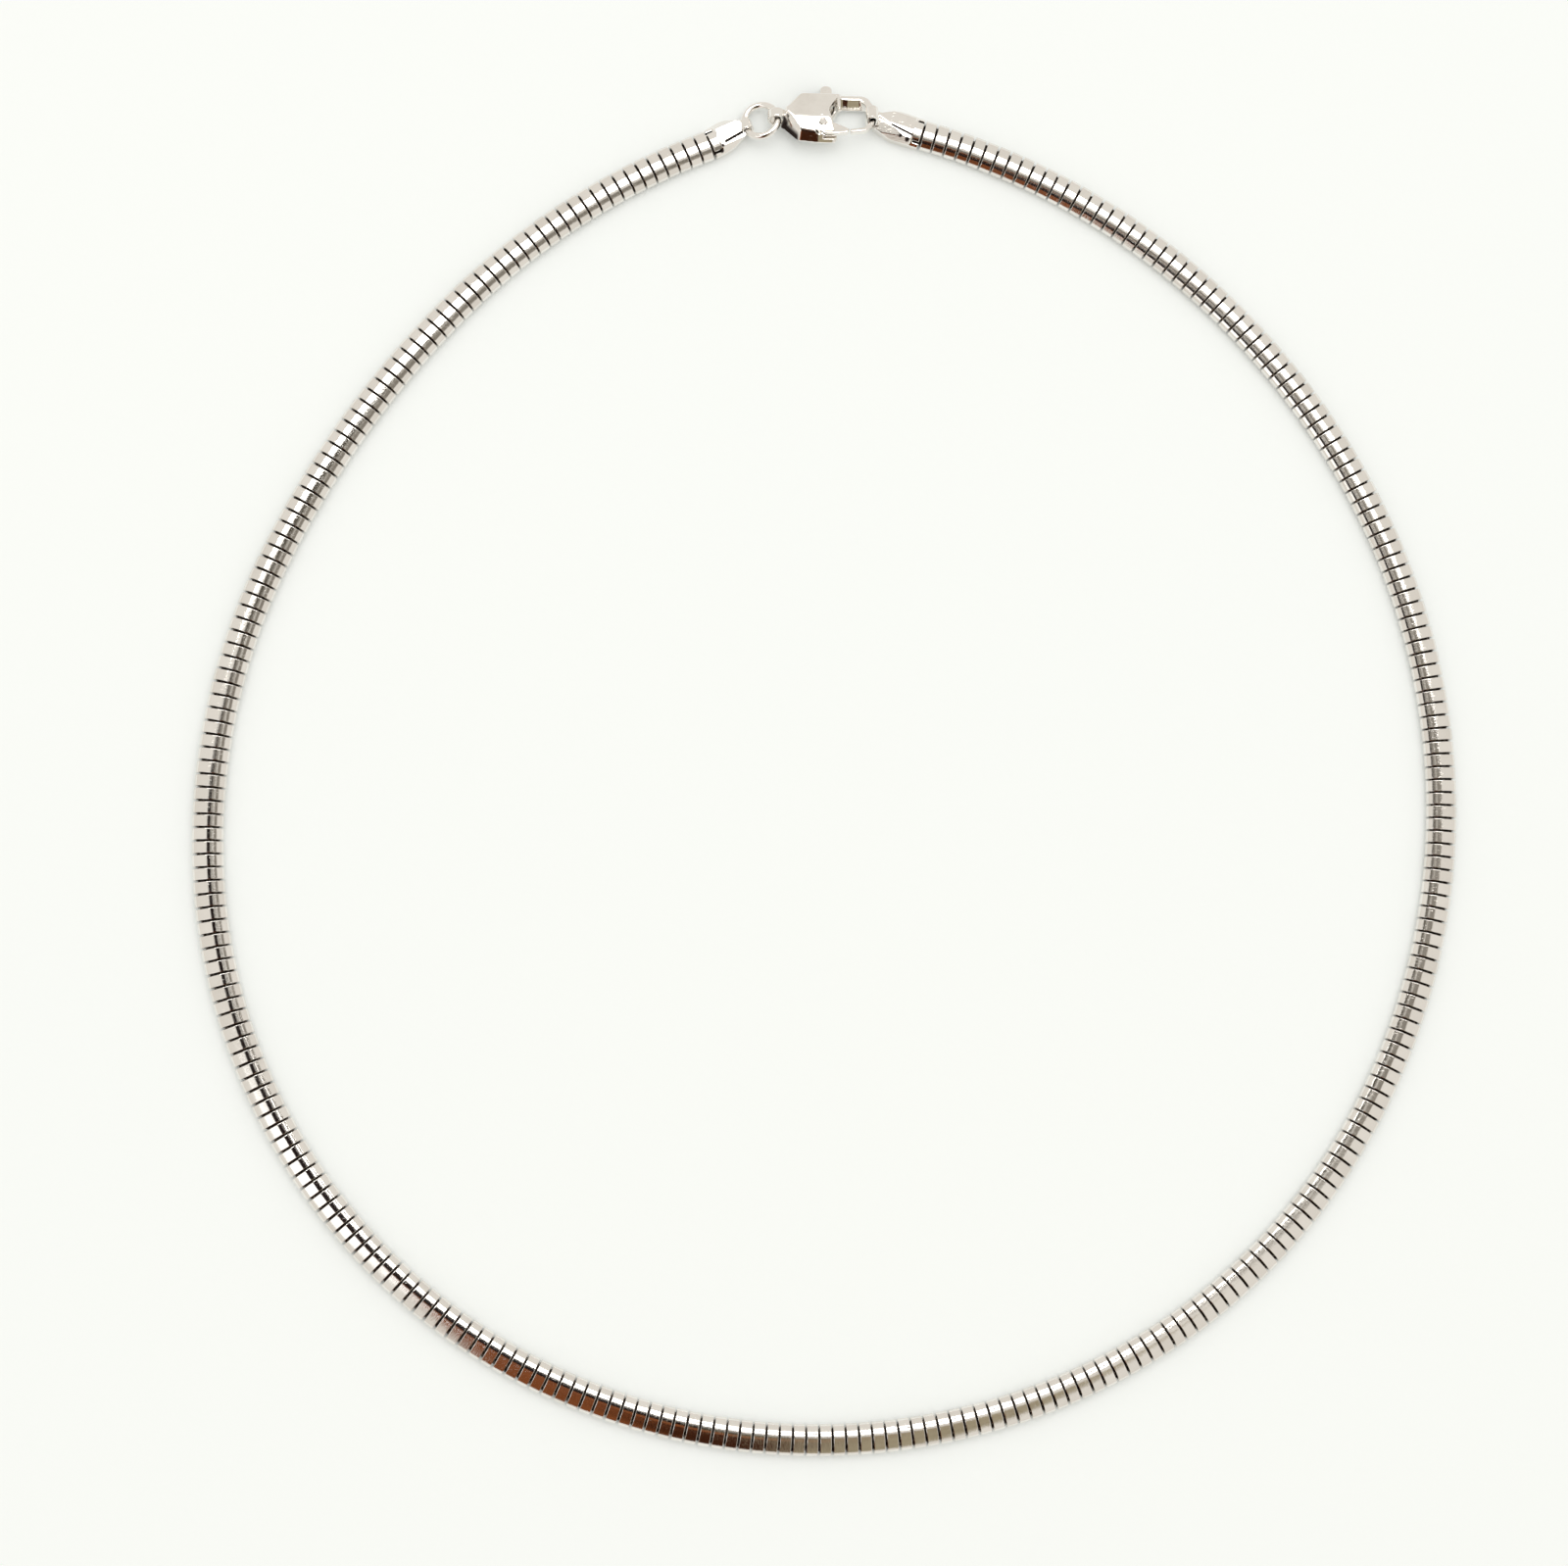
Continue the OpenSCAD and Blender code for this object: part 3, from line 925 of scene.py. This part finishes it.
# Along a cap: distance out, right edge, left edge, as seen from the band
LEFT_SHAPE = [
    (0.12, -1.6, 1.62), (1.0, -1.55, 1.7), (1.9, -1.45, 1.82),
    (2.5, -1.3, 1.72), (3.6, -0.85, 1.1), (4.6, -0.5, 0.6),
]
RIGHT_SHAPE = [
    (0.12, -1.6, 1.6), (1.2, -1.6, 1.62), (2.9, -1.58, 1.66),
    (3.4, -1.4, 1.6), (4.7, -0.75, 1.2), (5.6, -0.6, 0.95),
]
# Folded facets of a cap's top: height at the band's end, slope along and slope across
LEFT_FACETS = [(1.6, 0, -0.02), (2.72, 0, -1.0), (2.45, 0, 1.0)]
RIGHT_FACETS = [(1.62, 0, 0.15), (1.62, 0, 0), (2.0, -0.1, -0.2), (2.85, 0, 1.1), (2.75, 0, -1.1)]
# A fold's seam on a cap, a groove darkened with painted shade: from here out, across at its start, slope,
# depth and half width
LEFT_SEAM = (1.4, -0.5, 0.1, 0.2, 0.16)
RIGHT_SEAM = (0.7, 0.62, -0.16, 0.16, 0.11)
# Corners of the folds darkened with painted shade: out, across and radius
LEFT_SHADE_SPOTS = [(0.85, -1.15, 0.3), (1.15, -0.75, 0.22)]
RIGHT_SHADE_SPOTS = [(1.4, 1.15, 0.3), (2.2, 1.0, 0.26)]
# How far out each cap's folded body, its seam's painted shade and the whole cap reach
LEFT_REACHES = (3.9, 3.7, 5.5)
RIGHT_REACHES = (5.1, 3.4, 6.7)
CAP_START = 0.12
CAP_EDGE_R = 0.06
CAP_STEP = 0.05
SHARP_ON_CAPS = 60
# Only what lies above this height gets painted shade
SHADE_FROM_Z = 0.4
# The room that a cap leaves for the mesh core: half width, reach, middle height and half height
MESH_ROOM = (1.25, 0.8, 0.8, 0.5)
MESH_ROOM_EASE = 0.02
# The arched collar turns into the folds between these places, and a seam and its painted shade fade in
COLLAR_BLEND = (COLLAR_L - 0.05, COLLAR_L + 0.15)
SEAM_FADE = 0.4
SHADE_FADE = 0.3
TONGUE_FILLET = 0.12
TONGUE_EDGE_R = 0.08
TONGUE_HOLLOW_HALF_W = 1.6
TONGUE_SINK = 0.05
# A cap's box: its lowest corner, and how wide and high its far corner is
CAP_BOX_LOW = (0, -2, -0.1)
CAP_BOX_HIGH = (2, 2.9)


def off_seam(x, y, seam):
    """How far to the side of a cap's seam a point lies."""
    start, across, slope, _, _ = seam
    return np.abs(y - across - slope * (x - start))


def cap_field(shape, facets, seam, length):
    """A cap's body: an arched collar at the band, then flat folds with a seam."""
    stops, right, left = (np.array(column) for column in zip(*shape))
    start, _, _, depth, half_w = seam

    def field(x, y, z):
        lo = np.interp(x, stops, right)
        hi = np.interp(x, stops, left)
        folded = np.min([height + out * x + across * y for height, out, across in facets], axis=0)
        groove = (1 - eased(off_seam(x, y, seam), 0, half_w)) * eased(x, start, start + SEAM_FADE)
        folded = folded - depth * groove
        arched = CROWN_Z + np.sqrt(np.maximum(CROWN_R**2 - y**2, 0.01))
        share = eased(x, *COLLAR_BLEND)
        top = arched * (1 - share) + folded * share
        side = np.maximum(y - hi, lo - y)
        ends = np.maximum(CAP_START - x, x - length)
        return slab(np.maximum(side, ends), np.maximum(z - top, -z), CAP_EDGE_R)

    return field


def cap_painted_shade(x, y, z, seam, seam_end, corners):
    """Painted shade along a cap's seam and in some corners of its folds."""
    start, _, _, _, half_w = seam
    beside = eased(off_seam(x, y, seam), 0.4 * half_w, half_w)
    shade_and_soil = (1 - beside) * eased(x, start, start + SHADE_FADE) * (x < seam_end)
    for out, side, radius in corners:
        shade_and_soil = np.maximum(shade_and_soil, 1 - eased(np.hypot(x - out, y - side), 0.5 * radius, radius))
    return shade_and_soil * (z > SHADE_FROM_Z)


def in_frame(field, matrix):
    """A field given in a piece's own frame, read in the frame that matrix comes from."""
    m = np.array(matrix.inverted())

    def read(x, y, z):
        return field(*(m[i, 0] * x + m[i, 1] * y + m[i, 2] * z + m[i, 3] for i in range(3)))

    return read


def curl_fields(clear_w, clear_h, width):
    """A tongue's loop in its own x-z plane, and the space in it, of that half width and half height."""

    def loop(x, y, z):
        stretch = np.maximum(np.abs(z) - (clear_h - clear_w), 0)
        ring = np.abs(np.hypot(x, stretch) - clear_w - TONGUE_T / 2) - TONGUE_T / 2
        return slab(ring, np.abs(y) - width / 2, TONGUE_EDGE_R)

    def hollow(x, y, z):
        stretch = np.maximum(np.abs(z) - (clear_h - clear_w), 0)
        return slab(np.hypot(x, stretch) - clear_w, np.abs(y) - TONGUE_HOLLOW_HALF_W, 0)

    return loop, hollow


def make_cap(name, node, at_end, shape, facets, seam, corners, reaches, at_tongue, curl, metal):
    """One cap: its folded body with room for the mesh core, and its curled tongue."""
    body_reach, shade_reach, reach = reaches
    body = cap_field(shape, facets, seam, body_reach)
    to_tongue = at_end.inverted() @ at_tongue
    loop, hollow = (in_frame(field, to_tongue) for field in curl_fields(*curl))
    room_half_w, room_reach, room_z, room_half_h = MESH_ROOM

    def whole(x, y, z):
        room = np.maximum(np.abs(y) - room_half_w, x - room_reach)
        mesh_room = slab(room, np.abs(z - room_z) - room_half_h, 0)
        solid = joined(cut(body(x, y, z), mesh_room, MESH_ROOM_EASE), loop(x, y, z), TONGUE_FILLET)
        return cut(solid, hollow(x, y, z), HOLE_EASE)

    step = CAP_STEP
    points, faces = surface_of(whole, CAP_BOX_LOW, (reach, *CAP_BOX_HIGH), step)
    piece = make_piece(name, moved(points, at_end), faces, metal, SHARP_ON_CAPS)
    # The cap stores painted shade along its seam and in corners of its folds
    mark_painted_shade(piece, cap_painted_shade(*points.T, seam, shade_reach, corners))
    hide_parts(node)


def make_caps(metal):
    """The left cap holds the ring and the right one the hook's rim."""
    on_ring = AT_RING @ turned(z=RING_HOLD) @ Matrix.Translation((RING_R - TONGUE_SINK, 0, 0))
    wire_clear = RING_WIRE_R + TONGUE_GAP
    make_cap(
        "left_end_cap", "left_cap", AT_LEFT_END, LEFT_SHAPE, LEFT_FACETS, LEFT_SEAM, LEFT_SHADE_SPOTS,
        LEFT_REACHES, on_ring, (wire_clear, wire_clear, LEFT_TONGUE_W), metal,
    )
    on_rim = AT_CLASP @ Matrix.Translation((RIM_HOLD[0], RIM_HOLD[1], 0))
    rim_clear = [half + TONGUE_GAP for half in RIM_HALF]
    make_cap(
        "right_end_cap", "right_cap", AT_RIGHT_END, RIGHT_SHAPE, RIGHT_FACETS, RIGHT_SEAM, RIGHT_SHADE_SPOTS,
        RIGHT_REACHES, on_rim, (*rim_clear, RIGHT_TONGUE_W), metal,
    )


# Floor, flags and light

TABLE_HALF_W = 4000
# The flags hang level at these heights. Their corners are laid out so that the metal reflects them
# where the necklace shows its dark, brown, grey and white stretches.
WINDOW_Z = 400
CARD_Z = 250
DEEP_CARD_Z = 249
LOW_CARD_Z = 158
WINDOW_COLOUR = (1.0, 0.99, 0.97, 1)
WINDOW_GLOW = 6.0
WHITE_COLOUR = (1.0, 1.0, 0.98, 1)
WHITE_GLOW = 1.5
LAMP_AT = (0, 400, 1500)
LAMP_TILT = -15
LAMP_SIZE = 2000
LAMP_POWER = 6.5
ROOM_COLOUR = (0.82, 0.79, 0.735, 1)
WINDOW_CORNERS = [
    (-225, 170), (-170, 120), (-58, 115), (3, 112), (28, 73), (100, 72), (160, 112),
    (200, 172), (165, 232), (90, 250), (0, 272), (-100, 265), (-215, 225),
]
WHITE_CORNERS = [(-45, -38), (-90, -42), (-230, -90), (-400, -260), (-230, -215), (-110, -135), (-60, -80)]
DARK_CORNERS = [
    (-80, 22), (-82, -14), (-74, -38), (-56, -55), (-31, -53), (-19, -58), (-6, -67), (7, -72),
    (12, -31), (2, -24), (14, -6), (6, 4), (-14, -4), (-32, -9), (-36, 4), (-38, 22),
]
OLIVE_CORNERS = [(-38, 22), (-56, 30), (-50, 56), (-30, 62), (-10, 53), (8, 41), (-2, 28)]
GREY_CORNERS = [
    (-38, 22), (-2, 28), (8, 41), (25, 32), (70, 30), (95, 0),
    (85, -38), (60, -25), (35, -10), (20, 14), (0, 14), (-15, 3), (-36, 4),
]
BROWN_CORNERS = [
    (-25, -25), (-55, -70), (-85, -110), (-145, -220), (-560, -900), (20, -900), (20, -25), (0, -10),
]
DEEP_CORNERS = [(-20, -110), (19, -110), (19, -900), (-160, -900), (-60, -250), (-30, -150)]
TAN_CORNERS = [(20, -25), (45, -40), (80, -60), (110, -150), (200, -900), (20, -900)]


def make_flag(name, height, corners, material):
    """A flat card that hangs level over the table.

    The metal reflects it, but the camera doesn't see it, and it neither lights nor shades the table.
    """
    face = tuple(reversed(range(len(corners))))
    flag = make_piece(name, [(x, y, height) for x, y in corners], [face], material, body=None)
    flag.visible_camera = False
    flag.visible_diffuse = False
    flag.visible_shadow = False


def make_flags():
    window = glowing("window_glow", WINDOW_COLOUR, WINDOW_GLOW)
    make_flag("window_panel", WINDOW_Z, WINDOW_CORNERS, window)
    make_flag("white_panel", CARD_Z, WHITE_CORNERS, glowing("white_glow", WHITE_COLOUR, WHITE_GLOW))
    for colour_name, height, colour, corners in (
        ("dark", LOW_CARD_Z, (0.016, 0.009, 0.009), DARK_CORNERS),
        ("olive", LOW_CARD_Z, (0.09, 0.075, 0.055), OLIVE_CORNERS),
        ("grey", LOW_CARD_Z, (0.3, 0.27, 0.24), GREY_CORNERS),
        ("brown", CARD_Z, (0.27, 0.083, 0.03), BROWN_CORNERS),
        ("deep", DEEP_CARD_Z, (0.06, 0.018, 0.008), DEEP_CORNERS),
        ("tan", CARD_Z, (0.46, 0.39, 0.28), TAN_CORNERS),
    ):
        make_flag(colour_name + "_flag", height, corners, flag_paint(colour_name + "_paint", colour))


def make_table():
    w = TABLE_HALF_W
    corners = [(-w, -w, 0), (w, -w, 0), (w, w, 0), (-w, w, 0)]
    make_piece("table_top", corners, [(0, 1, 2, 3)], pale_table(), body=None)


def make_light():
    """A wide soft lamp, which the metal doesn't reflect, and a warm plain room."""
    lamp = bpy.data.lights.new("soft_light", "AREA")
    lamp.shape = "DISK"
    lamp.size = LAMP_SIZE * MM
    lamp.energy = LAMP_POWER
    soft = bpy.data.objects.new("soft_light", lamp)
    soft.location = [v * MM for v in LAMP_AT]
    soft.rotation_euler = (math.radians(LAMP_TILT), 0, 0)
    soft.visible_glossy = False
    bpy.context.scene.collection.objects.link(soft)
    world = bpy.data.worlds.new("studio")
    bpy.context.scene.world = world
    world.use_nodes = True
    background = world.node_tree.nodes["Background"]
    background.inputs["Color"].default_value = ROOM_COLOUR
    background.inputs["Strength"].default_value = 1.0
    bpy.context.scene.view_settings.view_transform = "Standard"


make_camera()
make_table()
make_flags()
make_light()
make_plates(plate_silver())
make_core(painted_shade_core())
make_braid(shaded_woven_silver())
# The clasp's silver carries painted shade and a painted dark reflection from its stored layer
make_clasp(
    polished_silver("clasp_silver", painted_shade=True),
    polished_silver("lever_silver"),
    polished_silver("pin_silver", gloss=0.2),
)
make_ring(polished_silver("ring_silver"))
# The caps' silver carries painted shade from their stored layer
make_caps(polished_silver("cap_silver", painted_shade=True))
